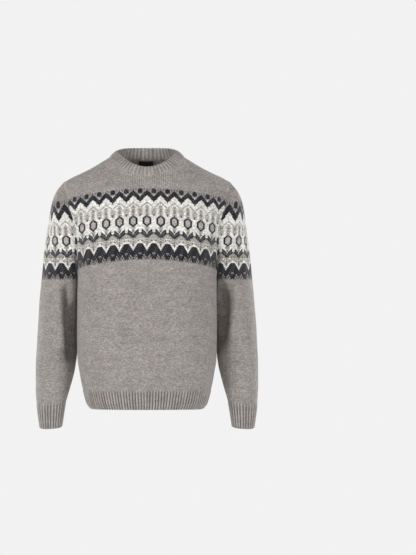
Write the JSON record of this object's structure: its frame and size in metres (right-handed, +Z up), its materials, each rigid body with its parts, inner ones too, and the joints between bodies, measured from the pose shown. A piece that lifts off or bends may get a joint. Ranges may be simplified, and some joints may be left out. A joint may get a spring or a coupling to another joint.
{
  "type": "fair isle sweater",
  "caption": "Knitted crew-neck pullover with long sleeves, rib collar, cuffs and hem, and a patterned band across the chest, back and upper sleeves, filled out as if worn.",
  "frame": {"origin": "centre of the neck base, level with the two side-neck points, where the wearer's neck and shoulders hold the garment", "axes": "+Z up along the wearer, -Y out of the garment's front, +X to the wearer's left"},
  "size_m": [0.6, 0.2567, 0.7545],
  "materials": {
    "body_knit": "matt heathered wool-blend stocking stitch",
    "rib_knit": "matt heathered wool-blend rib",
    "label_weave": "plain black woven tape"
  },
  "bodies": {
    "root": {"front_body": "body_knit", "back_body": "body_knit", "sleeve_left": "body_knit", "sleeve_right": "body_knit", "neck_rib": "rib_knit", "hem_rib": "rib_knit", "cuff_left": "rib_knit", "cuff_right": "rib_knit", "neck_label": "label_weave"}
  },
  "joints": []
}
